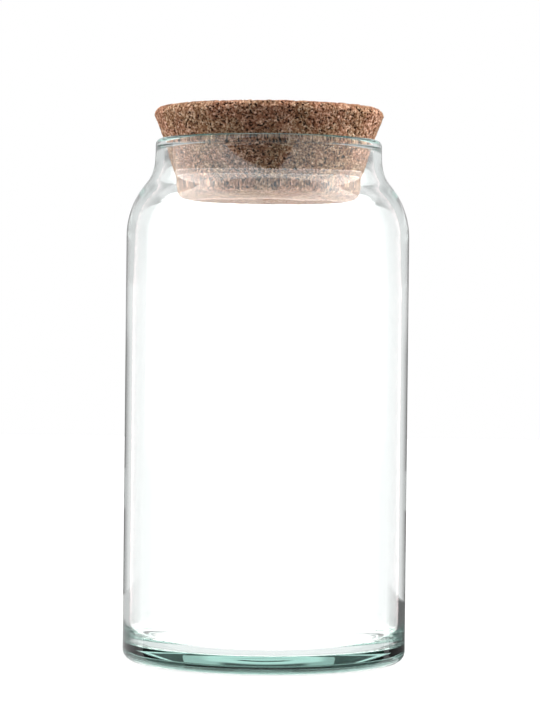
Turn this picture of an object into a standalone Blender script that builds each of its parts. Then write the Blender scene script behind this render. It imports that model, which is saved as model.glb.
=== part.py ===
"""Glass storage jar with a tapered cork stopper.

Units are metres, +Z is up, and the origin is the centre of the foot ring, on the surface the jar stands on.
The jar is one turned glass solid. The stopper is one turned plug of pressed cork that wedges in the mouth.
"""

import math

import bpy

MM = 0.001

# Jar, outside
BODY_RADIUS = 70.0 * MM
JAR_HEIGHT = 257.5 * MM
NECK_RADIUS = 56.0 * MM
NECK_LENGTH = 0.8 * MM
NECK_EASE_RADIUS = 115.0 * MM
NECK_EASE = math.radians(4.0)
NECK_FLARE_RADIUS = 18.0 * MM
SHOULDER_RADIUS = 40.5 * MM
HEEL_RADIUS = 5.0 * MM
FOOT_RING_WIDTH = 6.0 * MM
PUSH_UP_HEIGHT = 2.6 * MM

# Rim of the mouth, fire polished: the crown is its highest circle
RIM_OUTER_ROUND = 2.4 * MM
RIM_OUTER_DROP = 2.8 * MM
RIM_INNER_ROUND = 2.2 * MM
RIM_INNER_DROP = 4.0 * MM

# Jar, inside: the blown wall is thicker at the shoulder and at the floor
WALL = 3.4 * MM
SHOULDER_WALL = 4.2 * MM
THICK_WALL_DROP = 24.0 * MM
BORE_FLARE = 0.4 * MM
BORE_FLARE_RADIUS = 24.0 * MM
INNER_SHOULDER_RADIUS = 34.0 * MM
FLOOR_THICKNESS = 8.0 * MM
INNER_CORNER_RADIUS = 10.0 * MM

# Stopper: the head stands proud of the rim, and the plug below is squeezed by it
STOPPER_HEIGHT = 43.0 * MM
STOPPER_EXPOSED = 16.0 * MM
HEAD_TAPER = math.radians(18.9)
PLUG_TAPER = math.radians(15.0)
SQUEEZE = 0.8 * MM
SQUEEZE_HEIGHT = 1.2 * MM
HEAD_EDGE_ROUND = 4.0 * MM
PLUG_FOOT_CHAMFER = 1.2 * MM
STOPPER_CLEARANCE = 0.3 * MM

# How finely the turned shapes are cut
TURN_STEPS = 64
ARC_STEP = math.radians(12.0)
MERGE_DISTANCE = 0.01 * MM


def clear_scene():
    """Removes every object, so that the part starts from an empty scene."""
    for item in list(bpy.data.objects):
        bpy.data.objects.remove(item, do_unlink=True)


def arc(centre, radii, start, end):
    """Points on an ellipse's arc about centre = (r, z), both ends included. Angles run from +R towards +Z."""
    count = max(2, math.ceil(abs(end - start) / ARC_STEP))
    angles = [start + (end - start) * i / count for i in range(count + 1)]
    return [
        (centre[0] + radii[0] * math.cos(a), centre[1] + radii[1] * math.sin(a))
        for a in angles
    ]


def shoulder_slope(width, flare, shoulder):
    """How far from the vertical a shoulder leans where its hollow arc meets its full one: at most flat."""
    eased = (NECK_EASE_RADIUS - flare) * (1.0 - math.cos(NECK_EASE))
    return math.acos(max(0.0, 1.0 - (width - eased) / (flare + shoulder)))


def shoulder_curve(top_radius, end, flare, shoulder):
    """Points down an S-shaped shoulder, from its vertical start at top_radius to its vertical end at (r, z).

    A wide arc eases it into a hollow arc of radius flare, which runs into a full arc of radius shoulder.
    """
    slope = shoulder_slope(end[0] - top_radius, flare, shoulder)
    middle = end[0] - shoulder + (flare + shoulder) * math.cos(slope)
    height = end[1] + (flare + shoulder) * math.sin(slope)
    wider = NECK_EASE_RADIUS - flare
    easing = arc(
        (middle + wider * math.cos(NECK_EASE), height + wider * math.sin(NECK_EASE)),
        (NECK_EASE_RADIUS, NECK_EASE_RADIUS),
        math.pi,
        math.pi + NECK_EASE,
    )
    hollow = arc((middle, height), (flare, flare), math.pi + NECK_EASE, math.pi + slope)
    full = arc((end[0] - shoulder, end[1]), (shoulder, shoulder), slope, 0.0)
    return easing + hollow[1:] + full[1:]


def shoulder_foot():
    """The height at which the shoulder runs into the straight body."""
    slope = shoulder_slope(BODY_RADIUS - NECK_RADIUS, NECK_FLARE_RADIUS, SHOULDER_RADIUS)
    drop = (NECK_FLARE_RADIUS + SHOULDER_RADIUS) * math.sin(slope)
    drop += (NECK_EASE_RADIUS - NECK_FLARE_RADIUS) * math.sin(NECK_EASE)
    return JAR_HEIGHT - RIM_OUTER_DROP - NECK_LENGTH - drop


def jar_outside():
    """The jar's outer outline, from the rim's crown down to the middle of the push-up under the base."""
    crown = NECK_RADIUS - RIM_OUTER_ROUND
    rim = arc(
        (crown, JAR_HEIGHT - RIM_OUTER_DROP), (RIM_OUTER_ROUND, RIM_OUTER_DROP), math.pi / 2, 0.0
    )
    shoulder = shoulder_curve(
        NECK_RADIUS, (BODY_RADIUS, shoulder_foot()), NECK_FLARE_RADIUS, SHOULDER_RADIUS
    )
    foot_outer = BODY_RADIUS - HEEL_RADIUS
    heel = arc((foot_outer, HEEL_RADIUS), (HEEL_RADIUS, HEEL_RADIUS), 0.0, -math.pi / 2)
    foot_inner = foot_outer - FOOT_RING_WIDTH
    push_up = arc((0.0, 0.0), (foot_inner, PUSH_UP_HEIGHT), 0.0, math.pi / 2)
    return rim + shoulder + heel + push_up


def jar_inside():
    """The jar's inner outline, from the middle of the floor up to the rim's crown."""
    floor_radius = BODY_RADIUS - WALL - INNER_CORNER_RADIUS
    middle = (0.0, FLOOR_THICKNESS)
    corner = arc(
        (floor_radius, FLOOR_THICKNESS + INNER_CORNER_RADIUS),
        (INNER_CORNER_RADIUS, INNER_CORNER_RADIUS),
        -math.pi / 2,
        0.0,
    )
    crown = NECK_RADIUS - RIM_OUTER_ROUND
    inner_foot = (BODY_RADIUS - SHOULDER_WALL, shoulder_foot())
    wall_top = (BODY_RADIUS - WALL, inner_foot[1] - THICK_WALL_DROP)
    shoulder = shoulder_curve(
        crown - RIM_INNER_ROUND + BORE_FLARE, inner_foot, BORE_FLARE_RADIUS, INNER_SHOULDER_RADIUS
    )
    lip = arc(
        (crown, JAR_HEIGHT - RIM_INNER_DROP), (RIM_INNER_ROUND, RIM_INNER_DROP), math.pi, math.pi / 2
    )
    return [middle] + corner + [wall_top] + shoulder[::-1] + lip[:-1]


def wedge_radius():
    """The plug's radius at the level of the rim's crown, where its cone just clears the rounded lip."""
    crown = NECK_RADIUS - RIM_OUTER_ROUND
    reach = math.hypot(
        RIM_INNER_ROUND * math.cos(PLUG_TAPER), RIM_INNER_DROP * math.sin(PLUG_TAPER)
    )
    to_axis = crown * math.cos(PLUG_TAPER) + RIM_INNER_DROP * math.sin(PLUG_TAPER)
    return (to_axis - reach - STOPPER_CLEARANCE) / math.cos(PLUG_TAPER)


def stopper_outline():
    """The stopper's outline from the top's middle to the foot's middle, with heights from the rim's crown."""

    def plug(height):
        return wedge_radius() + height * math.tan(PLUG_TAPER)

    foot = STOPPER_EXPOSED - STOPPER_HEIGHT
    shoulder = STOPPER_EXPOSED - HEAD_EDGE_ROUND
    head_foot = wedge_radius() + SQUEEZE
    head_radius = head_foot + (shoulder - SQUEEZE_HEIGHT) * math.tan(HEAD_TAPER)
    edge = arc(
        (head_radius - HEAD_EDGE_ROUND, shoulder), (HEAD_EDGE_ROUND, HEAD_EDGE_ROUND), math.pi / 2, 0.0
    )
    sides = [
        (head_foot, SQUEEZE_HEIGHT),
        (plug(-SQUEEZE_HEIGHT), -SQUEEZE_HEIGHT),
        (plug(foot + PLUG_FOOT_CHAMFER), foot + PLUG_FOOT_CHAMFER),
        (plug(foot) - PLUG_FOOT_CHAMFER, foot),
    ]
    return [(0.0, STOPPER_EXPOSED)] + edge + sides + [(0.0, foot)]


def turned_solid(name, outline, material, collection):
    """Turns an outline of (r, z) points about the Z axis into a closed solid.

    The outline starts and ends on the axis, and runs down its outer side.
    """
    mesh = bpy.data.meshes.new(name)
    points = [(r, 0.0, z) for r, z in outline]
    edges = [(i, i + 1) for i in range(len(points) - 1)]
    mesh.from_pydata(points, edges, [])
    mesh.materials.append(material)
    solid = bpy.data.objects.new(name, mesh)
    collection.objects.link(solid)
    turn = solid.modifiers.new("turn", "SCREW")
    turn.axis = "Z"
    turn.steps = TURN_STEPS
    turn.render_steps = TURN_STEPS
    turn.use_merge_vertices = True
    turn.merge_threshold = MERGE_DISTANCE
    turn.use_smooth_shade = True
    return solid


def surface(name, colour, roughness, transmission=0.0):
    """A Principled material with one plain colour."""
    material = bpy.data.materials.new(name)
    material.use_nodes = True
    shader = material.node_tree.nodes["Principled BSDF"]
    shader.inputs["Base Color"].default_value = (*colour, 1.0)
    shader.inputs["Roughness"].default_value = roughness
    shader.inputs["Metallic"].default_value = 0.0
    shader.inputs["Transmission Weight"].default_value = transmission
    shader.inputs["IOR"].default_value = 1.52 if transmission else 1.45
    return material


def build():
    """Makes the jar and its stopper in a collection of their own."""
    clear_scene()
    collection = bpy.data.collections.new("cork_stoppered_jar")
    bpy.context.scene.collection.children.link(collection)
    glass = surface("recycled_glass", (0.86, 0.95, 0.93), 0.02, transmission=1.0)
    cork = surface("pressed_cork", (0.36, 0.19, 0.11), 0.85)
    turned_solid("glass_jar", jar_inside() + jar_outside(), glass, collection)
    lift = bpy.data.objects.new("stopper_lift", None)
    collection.objects.link(lift)
    lift.location = (0.0, 0.0, JAR_HEIGHT)
    stopper = turned_solid("cork_stopper", stopper_outline(), cork, collection)
    stopper.parent = lift


if __name__ == "__main__":
    build()
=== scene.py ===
"""Dresses a blown storage jar of recycled glass and the pressed cork stopper wedged in its mouth.

Units are metres, +Z is up, and the jar stands on its foot ring at the origin. The glass is one closed
turned wall. The cork is a turned plug whose skin is broken up into granules and pits.
"""

import logging
import math
from dataclasses import dataclass, field
from enum import Enum
from typing import Iterable

import bmesh
import bpy
from mathutils import Euler, Matrix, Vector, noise


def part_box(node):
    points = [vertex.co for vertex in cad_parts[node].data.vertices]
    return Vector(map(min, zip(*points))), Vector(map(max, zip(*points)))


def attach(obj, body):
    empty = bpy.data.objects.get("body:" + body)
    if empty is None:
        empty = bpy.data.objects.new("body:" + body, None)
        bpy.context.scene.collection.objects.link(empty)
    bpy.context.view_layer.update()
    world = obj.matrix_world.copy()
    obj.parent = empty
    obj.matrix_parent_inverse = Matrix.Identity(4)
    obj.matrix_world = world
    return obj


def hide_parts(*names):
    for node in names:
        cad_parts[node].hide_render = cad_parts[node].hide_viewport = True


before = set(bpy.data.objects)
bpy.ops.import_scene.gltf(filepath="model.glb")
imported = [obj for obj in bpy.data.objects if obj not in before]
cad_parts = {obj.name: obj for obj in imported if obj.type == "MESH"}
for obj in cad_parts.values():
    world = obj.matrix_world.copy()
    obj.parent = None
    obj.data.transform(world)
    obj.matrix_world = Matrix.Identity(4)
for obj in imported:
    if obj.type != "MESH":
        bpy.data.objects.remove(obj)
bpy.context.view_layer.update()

MM = 0.001
MERGE = 0.001 * MM
PIT = "pit"

# Blender's noise takes its offsets from the clock unless it is given a seed
NOISE_SEED = 1

# Turned pieces: an eighth of a turn is spun, and then doubled. An arc has at least this many steps.
DOUBLINGS = 3
ARC_STEPS = 4

# Limits on how often a ray has been through a surface of the glass, mirrored or scattered
ENTERED = 0.5
PAST_WALL = 2.5
PAST_BOTH_WALLS = 4.5
MIRRORED_TWICE = 1.5
MIRRORED_OFTEN = 3.5
SCATTERED = 0.5

# What a level of 1 stands for in a profile of angles, and in one of the ceiling's brightness
DEGREES = 100.0
CEILING_LEVEL = 10.0
LEFT_SIDE = -90.0

WHITE = (1.0, 1.0, 1.0, 1.0)
MID_GREY = (0.5, 0.5, 0.5)
HALF_METRE = 0.5

log = logging.getLogger("storage_jar")

Point = tuple[float, float]
Span = tuple[float, float]
Stops = tuple[Point, ...]
Colour = tuple[float, float, float]
Arc = tuple[Point, Point, float, float]
Socket = bpy.types.NodeSocket


class Body(Enum):
    """The frame's moving bodies."""

    JAR = "jar"
    STOPPER = "stopper"


class Slot(Enum):
    """The record's material slots."""

    GLASS = "recycled_glass"
    CORK = "pressed_cork"


class Turn:
    """An outline of (radius, height) points for a turned piece, drawn stretch by stretch."""

    def __init__(self, radius: float, height: float, pitch: float) -> None:
        """Starts the outline.

        Args:
            radius: Distance of the first point from the axis.
            height: Height of the first point.
            pitch: The longest step between two points.
        """
        self.points: list[Point] = [(radius, height)]
        self.pitch = pitch

    def line_to(self, radius: float, height: float) -> "Turn":
        """Runs straight to a point, in steps no longer than the pitch.

        Args:
            radius: The point's distance from the axis.
            height: The point's height.

        Returns:
            This outline, so that stretches can be chained.
        """
        r0, z0 = self.points[-1]
        steps = max(1, math.ceil(math.hypot(radius - r0, height - z0) / self.pitch))
        for i in range(1, steps + 1):
            share = i / steps
            self.points.append((r0 + (radius - r0) * share, z0 + (height - z0) * share))
        return self

    def arc(self, centre: Point, radii: Point, start: float, end: float) -> "Turn":
        """Runs straight to the start of an ellipse's arc and then along it.

        Args:
            centre: The ellipse's centre.
            radii: Its radii along the radius and the height.
            start: The first angle in radians, from outwards towards up.
            end: The last angle.

        Returns:
            This outline, so that stretches can be chained.
        """
        first = (centre[0] + radii[0] * math.cos(start), centre[1] + radii[1] * math.sin(start))
        if math.dist(first, self.points[-1]) > MERGE:
            self.line_to(*first)
        steps = max(ARC_STEPS, math.ceil(abs(end - start) * max(radii) / self.pitch))
        for i in range(1, steps + 1):
            angle = start + (end - start) * i / steps
            radius = centre[0] + radii[0] * math.cos(angle)
            self.points.append((radius, centre[1] + radii[1] * math.sin(angle)))
        return self

    @staticmethod
    def shoulder_slope(width: float, flare: float, full: float, ease: Point) -> float:
        """Works out how far from upright a shoulder leans where its hollow arc meets its full one.

        Args:
            width: How much wider its lower end is than its upper one.
            flare: Radius of the hollow arc above.
            full: Radius of the full arc below.
            ease: Radius and angle of the wide arc at the top.

        Returns:
            The angle in radians.
        """
        eased = (ease[0] - flare) * (1.0 - math.cos(ease[1]))
        return math.acos(max(0.0, 1.0 - (width - eased) / (flare + full)))

    @classmethod
    def shoulder_drop(cls, width: float, flare: float, full: float, ease: Point) -> float:
        """Works out a shoulder's height from the same sizes as shoulder_slope().

        Args:
            width: How much wider its lower end is than its upper one.
            flare: Radius of the hollow arc above.
            full: Radius of the full arc below.
            ease: Radius and angle of the wide arc at the top.

        Returns:
            The height from its upper end down to its lower one.
        """
        slope = cls.shoulder_slope(width, flare, full, ease)
        return (flare + full) * math.sin(slope) + (ease[0] - flare) * math.sin(ease[1])

    @classmethod
    def shoulder(cls, top: float, end: Point, flare: float, full: float, ease: Point) -> list[Arc]:
        """Works out the arcs of an S-shaped shoulder that is upright at both ends.

        Args:
            top: The radius at its upper end.
            end: Its lower end.
            flare: Radius of the hollow arc above.
            full: Radius of the full arc below.
            ease: Radius and angle of a wide arc that eases the neck into the hollow arc.

        Returns:
            The arcs, going down, each as arguments for arc().
        """
        wide, lean = ease
        slope = cls.shoulder_slope(end[0] - top, flare, full, ease)
        height = end[1] + (flare + full) * math.sin(slope)
        middle = end[0] - full + (flare + full) * math.cos(slope)
        centre = (middle + (wide - flare) * math.cos(lean), height + (wide - flare) * math.sin(lean))
        easing = (centre, (wide, wide), math.pi, math.pi + lean)
        hollow = ((middle, height), (flare, flare), math.pi + lean, math.pi + slope)
        lower = ((end[0] - full, end[1]), (full, full), slope, 0.0)
        return [easing, hollow, lower]


def turned(points: Iterable[Point], steps: int) -> bmesh.types.BMesh:
    """Turns an outline that starts and ends on the axis into a closed shape.

    Args:
        points: The outline as (radius, height) points.
        steps: How many sides a full turn gets, a multiple of eight.

    Returns:
        The shape, with its normals pointing out.
    """
    bm = bmesh.new()
    rim = [bm.verts.new((r, 0.0, z)) for r, z in points]
    edges = [bm.edges.new(pair) for pair in zip(rim, rim[1:])]
    sectors = 2 ** DOUBLINGS
    share = math.tau / sectors
    bmesh.ops.spin(bm, geom=rim + edges, axis=(0.0, 0.0, 1.0), angle=share, steps=steps // sectors)
    for _ in range(DOUBLINGS):
        copy = bmesh.ops.duplicate(bm, geom=bm.verts[:] + bm.edges[:] + bm.faces[:])["geom"]
        moved = [part for part in copy if isinstance(part, bmesh.types.BMVert)]
        bmesh.ops.rotate(bm, verts=moved, matrix=Matrix.Rotation(share, 3, "Z"))
        share *= 2.0
    bmesh.ops.remove_doubles(bm, verts=bm.verts, dist=MERGE)
    bmesh.ops.recalc_face_normals(bm, faces=bm.faces)
    bm.normal_update()
    return bm


def finished(name: str, bm: bmesh.types.BMesh, material: bpy.types.Material) -> bpy.types.Object:
    """Makes an object at the origin from a shape.

    Args:
        name: The piece's name.
        bm: Its shape, which is freed.
        material: Its finish.

    Returns:
        The object, linked into the scene and shaded smooth.
    """
    mesh = bpy.data.meshes.new(name)
    bm.to_mesh(mesh)
    bm.free()
    mesh.materials.append(material)
    mesh.shade_smooth()
    piece = bpy.data.objects.new(name, mesh)
    bpy.context.scene.collection.objects.link(piece)
    return piece


class Nodes:
    """A node tree with short calls for adding and joining nodes."""

    def __init__(self, owner: bpy.types.Material | bpy.types.World) -> None:
        """Empties the owner's tree.

        Args:
            owner: A material or a world.
        """
        owner.use_nodes = True
        self.tree = owner.node_tree
        self.tree.nodes.clear()

    def add(self, kind: str, inputs: dict | None = None, **settings: object) -> bpy.types.Node:
        """Adds a node.

        Args:
            kind: The node's type without its ShaderNode prefix.
            inputs: Values or sockets for its inputs, by name or number.
            settings: Its own properties.

        Returns:
            The node.
        """
        node = self.tree.nodes.new("ShaderNode" + kind)
        for key, value in settings.items():
            setattr(node, key, value)
        for key, value in (inputs or {}).items():
            self.put(node.inputs[key], value)
        return node

    def put(self, socket: Socket, value: object) -> None:
        """Links or sets one input.

        Args:
            socket: The input.
            value: Another node's output, or a plain value.
        """
        if isinstance(value, Socket):
            self.tree.links.new(value, socket)
        else:
            socket.default_value = value

    def math(self, operation: str, *values: object) -> Socket:
        """Does a sum on one to three numbers.

        Args:
            operation: The Math node's operation.
            values: Numbers or outputs.

        Returns:
            The result's output.
        """
        return self.add("Math", dict(enumerate(values)), operation=operation).outputs[0]

    def times(self, first: object, second: object) -> Socket:
        """Returns the product of two numbers."""
        return self.math("MULTIPLY", first, second)

    def exceeds(self, value: object, limit: object) -> Socket:
        """Returns 1 where a number is greater than a limit, and 0 elsewhere."""
        return self.math("GREATER_THAN", value, limit)

    def ramp(self, value: object, low: float, high: float) -> Socket:
        """Eases from 0 at one end of a range to 1 at the other.

        Args:
            value: The number that is mapped.
            low: Where the result is 0.
            high: Where it is 1, which may lie below the other end.

        Returns:
            The result's output.
        """
        sizes = {0: value, 1: low, 2: high}
        return self.add("MapRange", sizes, interpolation_type="SMOOTHSTEP").outputs[0]

    def between(self, share: object, first: object, second: object) -> Socket:
        """Mixes two numbers.

        Args:
            share: How much of the second one counts.
            first: A number or an output.
            second: Another.

        Returns:
            The mixed number's output.
        """
        return self.add("Mix", {0: share, 2: first, 3: second}, data_type="FLOAT").outputs[0]

    def profile(self, value: Socket, stops: Stops) -> Socket:
        """Reads a level off a line through some stops, and holds it beyond both ends.

        Args:
            value: Where it is read.
            stops: The line's (place, level) points, with levels from 0 to 1.

        Returns:
            The level's output.
        """
        low, high = stops[0][0], stops[-1][0]
        share = self.add("MapRange", {0: value, 1: low, 2: high}).outputs[0]
        reader = self.add("ValToRGB", {0: share})
        self.fill(reader, [((place - low) / (high - low), (level,) * 3) for place, level in stops])
        return reader.outputs[0]

    @staticmethod
    def fill(reader: bpy.types.Node, stops: list[tuple[float, Colour]]) -> None:
        """Puts colours on a new colour ramp.

        Args:
            reader: The ramp's node.
            stops: Positions, from 0 to 1, and colours.
        """
        line = reader.color_ramp.elements
        for position, colour in stops[1:-1]:
            line.new(position).color = (*colour, 1.0)
        line[0].color = (*stops[0][1], 1.0)
        line[len(stops) - 1].color = (*stops[-1][1], 1.0)

    def mix(self, share: object, first: object, second: object, blend: str = "MIX") -> Socket:
        """Mixes two colours.

        Args:
            share: How much of the second one shows.
            first: A colour or an output.
            second: Another.
            blend: The way in which they are mixed.

        Returns:
            The mixed colour's output.
        """
        colours = {0: share, 6: first, 7: second}
        return self.add("Mix", colours, data_type="RGBA", blend_type=blend).outputs[2]

    def depth(self, kind: str, limit: float) -> Socket:
        """Finds out whether a ray has met more surfaces of a kind than a limit.

        Args:
            kind: Transmission, Glossy or Diffuse.
            limit: The limit.

        Returns:
            The answer's output, 1 or 0.
        """
        return self.exceeds(self.add("LightPath").outputs[kind + " Depth"], limit)

    def seen(self) -> Socket:
        """Returns 1 for the camera's own rays, and 0 for others."""
        return self.add("LightPath").outputs["Is Camera Ray"]

    def glow(self, level: float) -> Socket:
        """Adds a white glow.

        Args:
            level: How bright it is.

        Returns:
            The glow's output.
        """
        return self.add("Emission", {"Color": WHITE, "Strength": level}).outputs[0]

    def shades(self, share: Socket, first: Socket, second: Socket) -> Socket:
        """Mixes two shaders.

        Args:
            share: How much of the second one shows.
            first: A shader's output.
            second: Another.

        Returns:
            The mixed shader's output.
        """
        return self.add("MixShader", {0: share, 1: first, 2: second}).outputs[0]


@dataclass(frozen=True)
class RecycledGlass:
    """Lightly tinted glass: clear in a thin wall, blue-green through the thick base."""

    name: str = "recycled_glass"
    ior: float = 1.5
    tint: Colour = (0.137, 0.612, 0.512)
    density: float = 8.0

    def build(self) -> bpy.types.Material:
        """Makes the material.

        Returns:
            Clear glass whose body absorbs red most.
        """
        material = bpy.data.materials.new(self.name)
        nodes = Nodes(material)
        shader = nodes.add("BsdfPrincipled")
        shader.inputs["Base Color"].default_value = WHITE
        shader.inputs["Roughness"].default_value = 0.0
        shader.inputs["IOR"].default_value = self.ior
        shader.inputs["Transmission Weight"].default_value = 1.0
        body = nodes.add("VolumeAbsorption")
        body.inputs["Color"].default_value = (*self.tint, 1.0)
        body.inputs["Density"].default_value = self.density
        nodes.add("OutputMaterial", {"Surface": shader.outputs[0], "Volume": body.outputs[0]})
        return material


@dataclass(frozen=True)
class PressedCork:
    """Granules of several browns pressed together with pale flecks, and painted shade in its pits and
    holes.

    Attributes:
        granule: Size of a granule, and fleck and patch those of a fleck and of a patch of one hue.
        warp: Lumps per granule in the noise that bends the pattern, and by how many granules.
        grain: Lumps per fleck in the fine grain, their detail and their roughness.
        shade_shares: What granules, flecks and grain each add to the shade.
        shade_base: The shade without them, and the grain's level that adds nothing.
        hole: Lumps per fleck in the noise of the small holes.
        hole_span: Where the holes start and end in that noise.
        pit_span: Where the mesh's own pits start and end.
        patch_span: Where one hue turns into the other.
        relief: What grain and flecks each add to the bump.
    """

    name: str = "pressed_cork"
    granule: float = 2.1 * MM
    fleck: float = 0.75 * MM
    patch: float = 13.0 * MM
    browns: tuple[tuple[float, Colour], ...] = (
        (0.0, (0.045, 0.014, 0.007)),
        (0.3, (0.16, 0.067, 0.034)),
        (0.5, (0.29, 0.138, 0.078)),
        (0.7, (0.46, 0.262, 0.165)),
        (1.0, (0.85, 0.63, 0.47)),
    )
    # Painted shade: the near-black colour put into the pits and small holes, standing in for the shade
    # inside them
    pit: Colour = (0.02, 0.006, 0.003)
    warm: tuple[float, ...] = (1.04, 0.96, 0.95, 1.0)
    sallow: tuple[float, ...] = (0.98, 1.03, 0.97, 1.0)
    warp: Point = (0.9, 1.5)
    grain: tuple[float, float, float] = (0.7, 2.5, 0.65)
    shade_shares: tuple[float, float, float] = (0.28, 0.36, 1.55)
    shade_base: Point = (0.05, 0.36)
    hole: float = 0.8
    soft_detail: float = 2.0
    hole_detail: float = 1.0
    soft_roughness: float = 0.5
    hole_span: Span = (0.59, 0.64)
    pit_span: Span = (0.25, 0.6)
    patch_span: Span = (0.4, 0.6)
    relief: Point = (0.6, 0.25)
    bump_strength: float = 0.6
    bump_height: float = 0.3 * MM
    roughness: float = 0.85
    specular: float = 0.1

    def lumps(
        self, nodes: Nodes, place: Socket, scale: float, detail: float, roughness: float
    ) -> bpy.types.Node:
        """Adds a noise pattern.

        Args:
            nodes: The material's nodes.
            place: Where it is read.
            scale: Lumps per metre.
            detail: How finely the lumps are broken up.
            roughness: How much the fine ones count.

        Returns:
            The noise's node.
        """
        sizes = {"Vector": place, "Scale": scale, "Detail": detail, "Roughness": roughness}
        return nodes.add("TexNoise", sizes)

    @staticmethod
    def cells(nodes: Nodes, place: Socket, size: float) -> tuple[Socket, Socket, Socket]:
        """Adds a pattern of cells, each of one random colour.

        Args:
            nodes: The material's nodes.
            place: Where it is read.
            size: The size of a cell.

        Returns:
            The colour's red, green and blue.
        """
        cells = nodes.add("TexVoronoi", {"Vector": place, "Scale": 1.0 / size})
        return tuple(nodes.add("SeparateColor", {0: cells.outputs["Color"]}).outputs)

    def warped(self, nodes: Nodes, place: Socket) -> Socket:
        """Bends the pattern, so that no granule has straight sides.

        Args:
            nodes: The material's nodes.
            place: A place on the plug.

        Returns:
            The bent place's output.
        """
        rate, reach = self.warp
        wander = self.lumps(nodes, place, rate / self.granule, self.soft_detail, self.soft_roughness)
        middle = {0: wander.outputs["Color"], 1: MID_GREY}
        shifted = nodes.add("VectorMath", middle, operation="SUBTRACT").outputs[0]
        sizes = {0: shifted, "Scale": reach * self.granule}
        moved = nodes.add("VectorMath", sizes, operation="SCALE").outputs[0]
        return nodes.add("VectorMath", {0: place, 1: moved}, operation="ADD").outputs[0]

    def build(self) -> bpy.types.Material:
        """Makes the material.

        Returns:
            The cork's finish, which reads the pits that the stopper's mesh carries and paints shade
            into them.
        """
        material = bpy.data.materials.new(self.name)
        nodes = Nodes(material)
        place = nodes.add("TexCoord").outputs["Object"]
        warped = self.warped(nodes, place)
        tone = self.cells(nodes, warped, self.granule)[0]
        speck = self.cells(nodes, warped, self.fleck)[1]
        rate, detail, roughness = self.grain
        grain = self.lumps(nodes, place, rate / self.fleck, detail, roughness).outputs[0]
        from_tone, from_speck, from_grain = self.shade_shares
        darkest, grain_middle = self.shade_base
        shade = nodes.math("MULTIPLY_ADD", tone, from_tone, darkest)
        shade = nodes.math("MULTIPLY_ADD", speck, from_speck, shade)
        lift = nodes.math("SUBTRACT", grain, grain_middle)
        browns = nodes.add("ValToRGB", {0: nodes.math("MULTIPLY_ADD", lift, from_grain, shade)})
        nodes.fill(browns, self.browns)

        patches = self.lumps(nodes, place, 1.0 / self.patch, self.soft_detail, self.soft_roughness)
        hue = nodes.mix(nodes.ramp(patches.outputs[0], *self.patch_span), self.warm, self.sallow)
        colour = nodes.mix(1.0, browns.outputs[0], hue, blend="MULTIPLY")
        # Painted shade: the sunk small holes and the mesh's pits are coloured near-black, for the
        # shade that falls in them
        hole = self.lumps(nodes, warped, self.hole / self.fleck, self.hole_detail, self.soft_roughness)
        fine = nodes.ramp(hole.outputs[0], *self.hole_span)
        deep = nodes.add("Attribute", attribute_name=PIT).outputs["Fac"]
        dark = nodes.math("MAXIMUM", fine, nodes.ramp(deep, *self.pit_span))
        colour = nodes.mix(dark, colour, (*self.pit, 1.0))

        grain_relief, fleck_relief = self.relief
        relief = nodes.times(speck, fleck_relief)
        relief = nodes.math("MULTIPLY_ADD", grain, grain_relief, relief)
        relief = nodes.math("SUBTRACT", relief, fine)
        sizes = {"Strength": self.bump_strength, "Distance": self.bump_height, "Height": relief}
        bump = nodes.add("Bump", sizes)

        shader = nodes.add("BsdfPrincipled", {"Base Color": colour, "Normal": bump.outputs[0]})
        shader.inputs["Roughness"].default_value = self.roughness
        shader.inputs["Specular IOR Level"].default_value = self.specular
        nodes.add("OutputMaterial", {"Surface": shader.outputs[0]})
        return material


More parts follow.
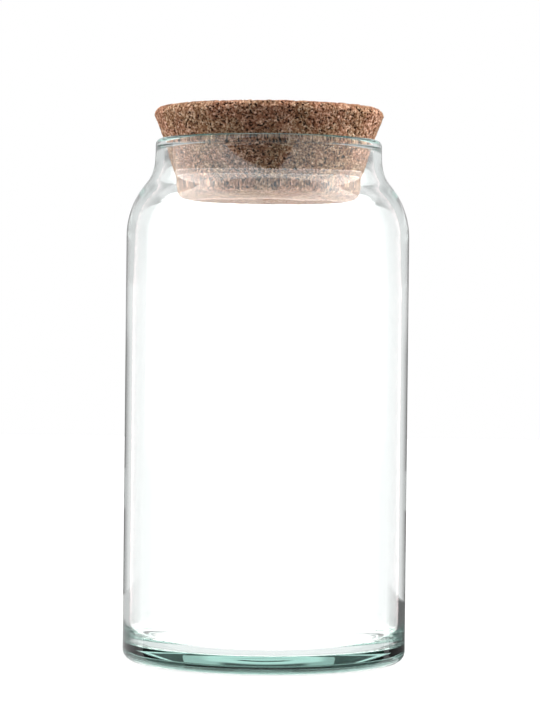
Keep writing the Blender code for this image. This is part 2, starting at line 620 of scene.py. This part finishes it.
@dataclass
class GlassJar:
    """The blown jar: one wall of glass from the foot ring to the fire-polished rim."""

    finish: RecycledGlass
    neck_radius: float = 56.0 * MM
    neck_length: float = 0.8 * MM
    neck_flare: float = 18.0 * MM
    neck_ease: Point = (115.0 * MM, math.radians(4.0))
    shoulder_radius: float = 40.5 * MM
    heel_radius: float = 5.0 * MM
    foot_ring: float = 6.0 * MM
    push_up: float = 2.6 * MM
    rim_outer: Point = (2.4 * MM, 2.8 * MM)
    rim_inner: Point = (2.2 * MM, 4.0 * MM)
    wall: float = 3.4 * MM
    shoulder_wall: float = 4.2 * MM
    thick_wall_drop: float = 24.0 * MM
    bore_flare: float = 0.4 * MM
    bore_lip: float = 24.0 * MM
    inner_shoulder: float = 34.0 * MM
    floor: float = 8.0 * MM
    inner_corner: float = 10.0 * MM
    pitch: float = 2.4 * MM
    steps: int = 256
    node: str = "glass_jar"
    body_radius: float = field(init=False)
    height: float = field(init=False)

    def __post_init__(self) -> None:
        """Reads the body's width and height from the frame."""
        low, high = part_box(self.node)
        self.body_radius = (high[0] - low[0]) / 2.0
        self.height = high[2] - low[2]

    def foot_height(self) -> float:
        """Returns the height at which the shoulder runs into the straight body."""
        drop = Turn.shoulder_drop(
            self.body_radius - self.neck_radius, self.neck_flare, self.shoulder_radius, self.neck_ease
        )
        return self.height - self.rim_outer[1] - self.neck_length - drop

    def outline(self) -> list[Point]:
        """Draws the wall's outline from the floor inside, over the rim, to the middle underneath.

        Returns:
            The points.
        """
        turn = Turn(0.0, self.floor, self.pitch)
        crown = self.neck_radius - self.rim_outer[0]
        foot_height = self.foot_height()
        corner = self.inner_corner
        floor_radius = self.body_radius - self.wall - corner
        turn.arc((floor_radius, self.floor + corner), (corner, corner), -math.pi / 2, 0.0)
        inner_foot = (self.body_radius - self.shoulder_wall, foot_height)
        turn.line_to(self.body_radius - self.wall, inner_foot[1] - self.thick_wall_drop)
        inner_top = crown - self.rim_inner[0] + self.bore_flare
        inner = turn.shoulder(
            inner_top, inner_foot, self.bore_lip, self.inner_shoulder, self.neck_ease
        )
        for centre, radii, start, end in inner[::-1]:
            turn.arc(centre, radii, end, start)
        turn.arc((crown, self.height - self.rim_inner[1]), self.rim_inner, math.pi, math.pi / 2)
        turn.arc((crown, self.height - self.rim_outer[1]), self.rim_outer, math.pi / 2, 0.0)
        outer_foot = (self.body_radius, foot_height)
        for stretch in turn.shoulder(
            self.neck_radius, outer_foot, self.neck_flare, self.shoulder_radius, self.neck_ease
        ):
            turn.arc(*stretch)
        heel = self.heel_radius
        foot_outer = self.body_radius - heel
        turn.arc((foot_outer, heel), (heel, heel), 0.0, -math.pi / 2)
        turn.arc((0.0, 0.0), (foot_outer - self.foot_ring, self.push_up), 0.0, math.pi / 2)
        return turn.points

    def build(self) -> bpy.types.Object:
        """Turns the wall, dresses it and puts it in the place of the frame's plain glass.

        Returns:
            The jar.
        """
        wall = turned(self.outline(), self.steps)
        piece = finished("glass_jar_wall", wall, self.finish.build())
        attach(piece, Body.JAR.value)
        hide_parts(self.node)
        return piece


@dataclass
class CorkStopper:
    """The tapered plug: its head stands proud of the rim, and its foot hangs in the neck.

    Attributes:
        rim_height: Height of the jar's rim, where the plug is squeezed.
        relief: How far the top lies below the frame's, to leave room for its granules.
        granule_bend: How many granules the pattern is bent by.
        granule_spread: Tells the granules' heights apart.
        seam_width: Width of a seam as a share of a granule.
        pit_rarity: Where a pit starts in its noise, and pit_edge how soon it is full.
        top_pitch: How much coarser the top is cut than the sides, and foot_pitch the foot.
    """

    finish: PressedCork
    rim_height: float
    plug_radius: float = 51.85 * MM
    head_radius: float = 56.9 * MM
    head_edge: float = 4.0 * MM
    squeeze: float = 0.7 * MM
    squeeze_height: float = 1.0 * MM
    plug_taper: float = math.radians(15.0)
    foot_chamfer: float = 1.2 * MM
    relief: float = 0.1 * MM
    granule: float = 2.3 * MM
    granule_relief: float = 0.35 * MM
    granule_bend: float = 0.5
    granule_spread: float = 9.7
    seam_depth: float = 0.15 * MM
    seam_width: float = 0.22
    pit_width: float = 1.05 * MM
    pit_rarity: float = 0.32
    pit_edge: float = 0.12
    pit_depth: float = 0.7 * MM
    pitch: float = 0.62 * MM
    top_pitch: float = 1.8
    foot_pitch: float = 2.5
    steps: int = 512
    node: str = "cork_stopper"
    foot: float = field(init=False)
    top: float = field(init=False)

    def __post_init__(self) -> None:
        """Reads the stopper's foot and top from the frame."""
        low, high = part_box(self.node)
        self.foot = low[2]
        self.top = high[2]

    def outline(self) -> list[Point]:
        """Draws the plug's outline from the middle of the top down to the middle of the foot.

        Returns:
            The points.
        """
        edge = self.head_edge
        top = self.top - self.relief
        rim = self.rim_height
        turn = Turn(0.0, top, self.top_pitch * self.pitch)
        turn.line_to(self.head_radius - edge, top)
        turn.pitch = self.pitch
        turn.arc((self.head_radius - edge, top - edge), (edge, edge), math.pi / 2, 0.0)
        turn.line_to(self.plug_radius + self.squeeze, rim + self.squeeze_height)
        taper = math.tan(self.plug_taper)
        turn.line_to(self.plug_radius - self.squeeze_height * taper, rim - self.squeeze_height)
        drop = rim - self.foot
        chamfer = self.foot_chamfer
        turn.line_to(self.plug_radius - (drop - chamfer) * taper, self.foot + chamfer)
        turn.line_to(self.plug_radius - drop * taper - chamfer, self.foot)
        turn.pitch = self.foot_pitch * self.pitch
        turn.line_to(0.0, self.foot)
        return turn.points

    def break_up(self, bm: bmesh.types.BMesh) -> None:
        """Sinks the skin into granules of uneven height with seams and pits, and never outwards.

        Args:
            bm: The turned plug, which also gets a layer that says how deep each pit is.
        """
        noise.seed_set(NOISE_SEED)
        pits = bm.verts.layers.float.new(PIT)
        normals = [vertex.normal.copy() for vertex in bm.verts]
        for vertex, normal in zip(bm.verts, normals):
            place = vertex.co
            bend = noise.noise_vector(place / self.granule) * (self.granule_bend * self.granule)
            near, centres = noise.voronoi((place + bend) / self.granule)
            height = noise.cell(centres[0] * self.granule_spread)
            seam = max(0.0, 1.0 - (near[1] - near[0]) / self.seam_width)
            hole = noise.noise((place + bend) / self.pit_width, noise_basis="PERLIN_NEW")
            pit = min(1.0, max(0.0, (hole - self.pit_rarity) / self.pit_edge))
            vertex[pits] = pit
            sink = self.granule_relief * (1.0 - height) / 2.0 + self.seam_depth * seam
            sink += self.pit_depth * pit
            vertex.co = place - normal * sink

    def build(self) -> bpy.types.Object:
        """Turns the plug, breaks up its skin, dresses it and puts it in the plain plug's place.

        Returns:
            The stopper.
        """
        bm = turned(self.outline(), self.steps)
        self.break_up(bm)
        piece = finished("cork_plug", bm, self.finish.build())
        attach(piece, Body.STOPPER.value)
        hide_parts(self.node)
        return piece


@dataclass
class Camera:
    """The photograph's view: from the front, a little above the middle of the jar."""

    lens: float = 140.0
    distance: float = 1.39
    height: float = 0.161
    pitch: float = math.radians(0.51)
    yaw: float = math.radians(-0.069)
    roll: float = math.radians(0.6)

    def build(self) -> bpy.types.Object:
        """Makes the scene's camera.

        Returns:
            The camera.
        """
        data = bpy.data.cameras.new("front_camera")
        data.lens = self.lens
        camera = bpy.data.objects.new("front_camera", data)
        bpy.context.scene.collection.objects.link(camera)
        place = Matrix.Translation((0.0, -self.distance, self.height))
        aim = Euler((math.pi / 2.0 - self.pitch, 0.0, self.yaw)).to_matrix().to_4x4()
        camera.matrix_world = place @ aim @ Matrix.Rotation(self.roll, 4, "Z")
        bpy.context.scene.camera = camera
        return camera


@dataclass(frozen=True)
class Surroundings:
    """The light from every side, by direction and by the ray's way through the glass.

    Angles are in degrees: rise from the horizon up, turn from straight in front, and aside from
    straight in front or straight behind to either side. Pairs of levels are for left and right.

    Attributes:
        panels: Levels of the two panels in front.
        panel_foot: The rise over which they start.
        left_edge: The left panel's inner edge at each rise, counted from LEFT_SIDE.
        right_edge: The right panel's inner edge at each rise.
        gap: Level between the panels.
        ceiling: Rise of the ceiling's edge, by aside.
        strip: Level of the bright strip below that edge, and strip_width how wide it is.
        overhead: Level of the ceiling, by rise.
        crown: Level of the ceiling's front for rays that have been in the glass, by rise.
        wall: Level behind and below the horizon, by aside, and horizon above it.
        horizon_rise: The rise over which the one turns into the other.
        neck: Levels low behind, from neck_rise on, and centre between them, inside centre_aside.
        back: Level higher up, from slab_rise on inside slab_aside, and far up from open_rise on.
        shoulder: Level from shoulder_rise on, by aside, and shoulder_top from shoulder_top_rise on.
        lens_aside: Inside it, rays mirrored twice meet the back's level.
        sky_rise: With sky_aside, where the glass's outer side mirrors the ceiling behind.
        low: Level behind from low_rise down.
        table: Level all round from table_rise down.
        through_body: Level straight through both walls as a share of clear, by aside.
        clear_rise: The rise from which down that level is clear.
        glint: Level for rays that have been through more surfaces still.
        sparkle: Colour for rays past a wall that were mirrored often.
        sides: Levels of the soft light on the cork, in a beam from beam_start to beam_end.
        fill: The soft light's level elsewhere, and inside how much more there is behind the glass.
        rear_turn: The turn at which the rear takes over from the front.
    """

    panels: Point = (1.95, 1.2)
    panel_foot: Span = (-3.0, -1.0)
    left_edge: Stops = ((4.0, 0.42), (12.0, 0.59), (50.0, 0.87))
    right_edge: Stops = ((4.0, 0.28), (12.0, 0.19), (50.0, 0.09))
    gap: float = 0.1
    ceiling: Stops = ((0.0, 0.52), (60.0, 0.45), (110.0, 0.3))
    strip: float = 7.0
    strip_width: float = 2.5
    overhead: Stops = ((52.0, 0.42), (61.0, 0.4), (67.0, 0.3), (77.0, 0.28), (84.0, 0.1))
    crown: Stops = ((52.0, 0.5), (58.0, 0.48), (66.0, 0.06))
    wall: Stops = (
        (0.0, 0.1), (10.0, 0.15), (14.0, 0.38), (18.0, 0.5), (22.0, 0.6), (26.0, 0.68), (30.0, 0.85)
    )
    horizon: Stops = ((0.0, 0.18), (9.0, 0.2), (13.0, 0.66), (30.0, 0.85))
    horizon_rise: Span = (-0.5, 0.5)
    neck: Point = (0.68, 0.8)
    neck_rise: Span = (2.4, 3.4)
    centre: float = 0.1
    centre_aside: Span = (9.0, 13.0)
    back: float = 1.2
    slab_rise: Span = (5.8, 6.6)
    slab_aside: Span = (14.0, 18.0)
    open_rise: Span = (40.0, 50.0)
    shoulder: Stops = ((4.0, 0.45), (12.0, 0.6), (20.0, 0.72), (30.0, 0.78))
    shoulder_rise: Span = (7.5, 8.5)
    shoulder_top: Stops = ((0.0, 0.48), (21.0, 0.5), (28.0, 0.74))
    shoulder_top_rise: Span = (15.0, 19.0)
    lens_aside: Span = (9.0, 6.0)
    sky_rise: Span = (26.0, 32.0)
    sky_aside: Span = (50.0, 60.0)
    low: float = 0.9
    low_rise: Span = (-9.0, -12.0)
    table: float = 1.0
    table_rise: Span = (-40.0, -44.0)
    through_body: Stops = (
        (4.0, 0.95), (5.0, 0.85), (7.0, 0.74), (9.0, 0.66), (11.0, 0.6), (15.0, 0.53), (26.0, 0.42),
        (42.0, 0.42), (50.0, 1.0)
    )
    clear: float = 1.5
    clear_rise: Span = (-16.0, -20.0)
    glint: float = 2.4
    sparkle: Colour = (5.0, 3.7, 3.8)
    sides: Point = (6.2, 8.4)
    beam_start: Span = (60.0, 80.0)
    beam_end: Span = (125.0, 100.0)
    fill: float = 0.2
    inside: float = 1.35
    rear_turn: float = 115.0

    def above(self, nodes: Nodes, rise: Socket) -> Socket:
        """Works out how bright the ceiling is, which fades towards the point overhead.

        Args:
            nodes: The world's nodes.
            rise: Degrees above the horizon.

        Returns:
            The level's output.
        """
        return nodes.times(nodes.profile(rise, self.overhead), CEILING_LEVEL)

    def front(self, nodes: Nodes, turn: Socket, rise: Socket) -> Socket:
        """Works out the light in front: two panels, a gap that narrows upwards, and a bright ceiling.

        Args:
            nodes: The world's nodes.
            turn: Degrees from straight in front, to the right.
            rise: Degrees above the horizon.

        Returns:
            The level's output.
        """
        left_edge = nodes.math("MULTIPLY_ADD", nodes.profile(rise, self.left_edge), DEGREES, LEFT_SIDE)
        right_edge = nodes.times(nodes.profile(rise, self.right_edge), DEGREES)
        aside = nodes.math("ABSOLUTE", turn)
        left = nodes.math("LESS_THAN", turn, left_edge)
        right = nodes.exceeds(turn, right_edge)
        lit = nodes.times(nodes.math("MAXIMUM", left, right), nodes.ramp(rise, *self.panel_foot))
        panel = nodes.between(nodes.exceeds(turn, 0.0), *self.panels)
        level = nodes.between(lit, self.gap, panel)
        edge = nodes.times(nodes.profile(aside, self.ceiling), DEGREES)
        over = nodes.math("SUBTRACT", rise, edge)
        level = nodes.between(nodes.exceeds(over, -self.strip_width), level, self.strip)
        crown = nodes.times(nodes.profile(rise, self.crown), CEILING_LEVEL)
        sky = nodes.between(nodes.depth("Transmission", ENTERED), self.above(nodes, rise), crown)
        return nodes.between(nodes.exceeds(over, 0.0), level, sky)

    def rear(self, nodes: Nodes, turn: Socket, rise: Socket) -> Socket:
        """Works out what the edges of the glass and the thick base pick up from behind.

        Args:
            nodes: The world's nodes.
            turn: Degrees from straight behind, to the right in the picture.
            rise: Degrees above the horizon.

        Returns:
            The level's output.
        """
        aside = nodes.math("ABSOLUTE", turn)
        wall = nodes.profile(aside, self.wall)
        horizon = nodes.profile(aside, self.horizon)
        level = nodes.between(nodes.ramp(rise, *self.horizon_rise), wall, horizon)
        neck = nodes.between(nodes.exceeds(turn, 0.0), *self.neck)
        slab = nodes.between(nodes.ramp(aside, *self.slab_aside), self.back, neck)
        neck = nodes.between(nodes.ramp(aside, *self.centre_aside), self.centre, neck)
        level = nodes.between(nodes.ramp(rise, *self.neck_rise), level, neck)
        level = nodes.between(nodes.ramp(rise, *self.slab_rise), level, slab)
        shoulder = nodes.profile(aside, self.shoulder)
        level = nodes.between(nodes.ramp(rise, *self.shoulder_rise), level, shoulder)
        shoulder = nodes.profile(aside, self.shoulder_top)
        level = nodes.between(nodes.ramp(rise, *self.shoulder_top_rise), level, shoulder)
        level = nodes.between(nodes.ramp(rise, *self.open_rise), level, self.back)
        lens = nodes.times(nodes.depth("Glossy", MIRRORED_TWICE), nodes.ramp(aside, *self.lens_aside))
        level = nodes.between(lens, level, self.back)
        outer = nodes.math("SUBTRACT", 1.0, nodes.depth("Transmission", ENTERED))
        sky = nodes.times(outer, nodes.ramp(rise, *self.sky_rise))
        sky = nodes.times(sky, nodes.ramp(aside, *self.sky_aside))
        level = nodes.between(sky, level, self.above(nodes, rise))
        return nodes.between(nodes.ramp(rise, *self.low_rise), level, self.low)

    def through(self, nodes: Nodes, turn: Socket, rise: Socket) -> Socket:
        """Works out what shows straight through both walls: white, and greyer towards the jar's sides.

        Args:
            nodes: The world's nodes.
            turn: Degrees from straight behind, to the right in the picture.
            rise: Degrees above the horizon.

        Returns:
            The level's output.
        """
        aside = nodes.math("ABSOLUTE", turn)
        level = nodes.times(nodes.profile(aside, self.through_body), self.clear)
        return nodes.between(nodes.ramp(rise, *self.clear_rise), level, self.clear)

    def soft(self, nodes: Nodes, turn: Socket, past_wall: Socket) -> Socket:
        """Works out the light that falls on the cork: a broad beam from either side and a little fill.

        Args:
            nodes: The world's nodes.
            turn: Degrees from straight in front, to the right.
            past_wall: Whether the ray comes through the glass.

        Returns:
            The level's output.
        """
        aside = nodes.math("ABSOLUTE", turn)
        side = nodes.between(nodes.exceeds(turn, 0.0), *self.sides)
        beam = nodes.times(nodes.ramp(aside, *self.beam_start), nodes.ramp(aside, *self.beam_end))
        level = nodes.between(beam, self.fill, side)
        return nodes.times(level, nodes.between(past_wall, 1.0, self.inside))

    def build(self) -> None:
        """Lights the scene from the world, which is white where the camera sees it."""
        world = bpy.data.worlds.new("studio")
        bpy.context.scene.world = world
        nodes = Nodes(world)
        world.cycles.sampling_method = "NONE"
        x, y, z = nodes.add("SeparateXYZ", {0: nodes.add("TexCoord").outputs["Generated"]}).outputs
        rise = nodes.math("DEGREES", nodes.math("ARCSINE", z))
        turn = nodes.math("DEGREES", nodes.math("ARCTAN2", x, nodes.times(y, -1.0)))
        behind = nodes.math("DEGREES", nodes.math("ARCTAN2", x, y))
        in_rear = nodes.exceeds(nodes.math("ABSOLUTE", turn), self.rear_turn)
        level = nodes.between(in_rear, self.front(nodes, turn, rise), self.rear(nodes, behind, rise))
        level = nodes.between(nodes.ramp(rise, *self.table_rise), level, self.table)
        past_wall = nodes.depth("Transmission", PAST_WALL)
        level = nodes.between(past_wall, level, self.through(nodes, behind, rise))
        level = nodes.between(nodes.depth("Transmission", PAST_BOTH_WALLS), level, self.glint)
        scattered = nodes.depth("Diffuse", SCATTERED)
        level = nodes.between(scattered, level, self.soft(nodes, turn, past_wall))
        level = nodes.between(nodes.seen(), level, 1.0)
        grey = nodes.add("CombineColor", {0: level, 1: level, 2: level}).outputs[0]
        often = nodes.times(past_wall, nodes.depth("Glossy", MIRRORED_OFTEN))
        often = nodes.times(often, nodes.math("SUBTRACT", 1.0, scattered))
        colour = nodes.mix(often, grey, (*self.sparkle, 1.0))
        shine = nodes.add("Background", {"Color": colour, "Strength": 1.0})
        nodes.add("OutputWorld", {"Surface": shine.outputs[0]})


@dataclass(frozen=True)
class Floor:
    """A white floor that keeps the jar's soft shadow.

    Attributes:
        drop: How far it lies below the jar's foot.
        grey: How much of the light it gives back.
        glow: What makes it white to the camera.
        below: Its glow for light that falls on the cork through the glass, and reach how wide that is.
    """

    width: float = 6.0
    drop: float = 0.2 * MM
    grey: float = 0.2
    glow: float = 0.8
    below: float = 0.4
    reach: float = 0.16

    def finish(self) -> bpy.types.Material:
        """Makes the floor's material.

        Returns:
            The material.
        """
        material = bpy.data.materials.new("white_floor")
        nodes = Nodes(material)
        colour = (self.grey, self.grey, self.grey, 1.0)
        plain, catch = (nodes.add("BsdfDiffuse", {"Color": colour}).outputs[0] for _ in range(2))
        white = nodes.add("AddShader", {0: catch, 1: nodes.glow(self.glow)}).outputs[0]
        place = nodes.add("TexCoord").outputs["Object"]
        away = nodes.add("VectorMath", {0: place}, operation="LENGTH").outputs["Value"]
        near = nodes.math("LESS_THAN", away, self.reach)
        inside = nodes.times(near, nodes.depth("Transmission", PAST_WALL))
        unseen = nodes.shades(inside, plain, nodes.glow(self.below))
        nodes.add("OutputMaterial", {"Surface": nodes.shades(nodes.seen(), unseen, white)})
        return material

    def build(self) -> bpy.types.Object:
        """Lays the floor.

        Returns:
            The floor.
        """
        bm = bmesh.new()
        bmesh.ops.create_grid(bm, x_segments=1, y_segments=1, size=self.width / 2.0)
        bmesh.ops.translate(bm, vec=(0.0, 0.0, -self.drop), verts=bm.verts)
        floor = finished("studio_floor", bm, self.finish())
        floor.visible_transmission = False
        floor.visible_glossy = False
        return floor


def for_glass(piece: bpy.types.Object) -> None:
    """Hides a piece of the studio from all but the glass.

    Args:
        piece: The piece.
    """
    piece.visible_camera = False
    piece.visible_diffuse = False
    piece.visible_shadow = False


@dataclass(frozen=True)
class Card:
    """A glowing card behind the jar.

    Attributes:
        back: Its distance behind the jar's axis.
        left: Its left edge, with right, foot and top its other ones.
        level: How bright it looks.
        through: Whether it shows straight through both walls, and not in the glass itself.
        fade: Height over which the top fades out, or the foot of one that shows through.
    """

    name: str
    back: float
    left: float
    right: float
    foot: float
    top: float
    level: float
    through: bool = False
    fade: float = 1.5 * MM

    def finish(self) -> bpy.types.Material:
        """Makes the card's material.

        Returns:
            The material.
        """
        material = bpy.data.materials.new(self.name)
        nodes = Nodes(material)
        past_wall = nodes.depth("Transmission", PAST_WALL)
        place = nodes.add("TexCoord").outputs["Object"]
        height = nodes.add("SeparateXYZ", {0: place}).outputs[2]
        if self.through:
            shown = nodes.times(past_wall, nodes.ramp(height, self.foot, self.foot + self.fade))
            hidden = nodes.math("SUBTRACT", 1.0, shown)
        else:
            gone = nodes.ramp(height, self.top - self.fade, self.top)
            hidden = nodes.math("MAXIMUM", past_wall, gone)
        clear = nodes.add("BsdfTransparent").outputs[0]
        nodes.add("OutputMaterial", {"Surface": nodes.shades(hidden, nodes.glow(self.level), clear)})
        return material

    def build(self) -> bpy.types.Object:
        """Stands the card up.

        Returns:
            The card.
        """
        bm = bmesh.new()
        width, height = self.right - self.left, self.top - self.foot
        middle = ((self.left + self.right) / 2.0, self.back, (self.top + self.foot) / 2.0)
        bmesh.ops.create_grid(bm, x_segments=1, y_segments=1, size=HALF_METRE)
        bmesh.ops.rotate(bm, verts=bm.verts, matrix=Matrix.Rotation(math.pi / 2.0, 3, "X"))
        bmesh.ops.scale(bm, vec=(width, 1.0, height), verts=bm.verts)
        bmesh.ops.translate(bm, vec=middle, verts=bm.verts)
        card = finished(self.name, bm, self.finish())
        for_glass(card)
        return card


@dataclass(frozen=True)
class RimFlag:
    """A dark ring close above the rim, which keeps the ceiling out of the rim's round alone."""

    radii: Point = (52.0 * MM, 60.5 * MM)
    height: float = 259.5 * MM
    level: float = 0.6
    sides: int = 96

    def build(self) -> bpy.types.Object:
        """Hangs the ring.

        Returns:
            The ring.
        """
        bm = bmesh.new()
        angles = [math.tau * i / self.sides for i in range(self.sides)]
        loops = [
            [bm.verts.new((r * math.cos(a), r * math.sin(a), self.height)) for a in angles]
            for r in self.radii
        ]
        edges = [bm.edges.new((loop[i - 1], loop[i])) for loop in loops for i in range(self.sides)]
        bmesh.ops.bridge_loops(bm, edges=edges)
        material = bpy.data.materials.new("rim_flag")
        nodes = Nodes(material)
        nodes.add("OutputMaterial", {"Surface": nodes.glow(self.level)})
        flag = finished("rim_flag", bm, material)
        for_glass(flag)
        return flag


@dataclass(frozen=True)
class Studio:
    """The white studio: its light, its floor, and what stands about for the edges of the glass."""

    surroundings: Surroundings = Surroundings()
    floor: Floor = Floor()
    rim_flag: RimFlag = RimFlag()
    cards: tuple[Card, ...] = (
        Card("dark_skirt", 0.5, left=-0.16, right=0.168, foot=-0.04, top=0.044, level=0.04),
        Card("upper_skirt", 0.5, left=-0.16, right=0.168, foot=0.07, top=0.25, level=0.05),
        Card("left_flank", 0.12, left=-0.06, right=-0.0058, foot=-0.004, top=0.021, level=0.1),
        Card("left_side", 0.12, left=-0.3, right=-0.06, foot=-0.04, top=0.021, level=0.6),
        Card("right_flank", 0.12, left=0.0082, right=0.062, foot=-0.004, top=0.021, level=0.12),
        Card("right_side", 0.12, left=0.062, right=0.3, foot=-0.04, top=0.018, level=0.15),
        Card("pale_strip", 0.12, left=-0.06, right=0.062, foot=0.0225, top=0.045, level=1.2),
        Card(
            "neck_card", 0.1, left=-0.3, right=0.3, foot=0.2455, top=0.4, level=0.24, through=True
        ),
    )
    bounces: int = 32
    glossy_bounces: int = 24

    def build(self) -> None:
        """Sets up light, floor and cards, and how far light is followed through the glass."""
        scene = bpy.context.scene
        scene.view_settings.view_transform = "Standard"
        scene.cycles.max_bounces = self.bounces
        scene.cycles.transmission_bounces = self.bounces
        scene.cycles.glossy_bounces = self.glossy_bounces
        self.surroundings.build()
        self.floor.build()
        self.rim_flag.build()
        for card in self.cards:
            card.build()


def main() -> None:
    """Builds the jar, its stopper and the studio, in that order."""
    logging.basicConfig(level=logging.INFO, format="%(name)s: %(message)s")
    jar = GlassJar(RecycledGlass())
    stopper = CorkStopper(PressedCork(), rim_height=jar.height)
    for maker in (jar, stopper):
        piece = maker.build()
        log.info("%s: %d faces", piece.name, len(piece.data.polygons))
    Studio().build()
    Camera().build()


if __name__ == "__main__":
    main()
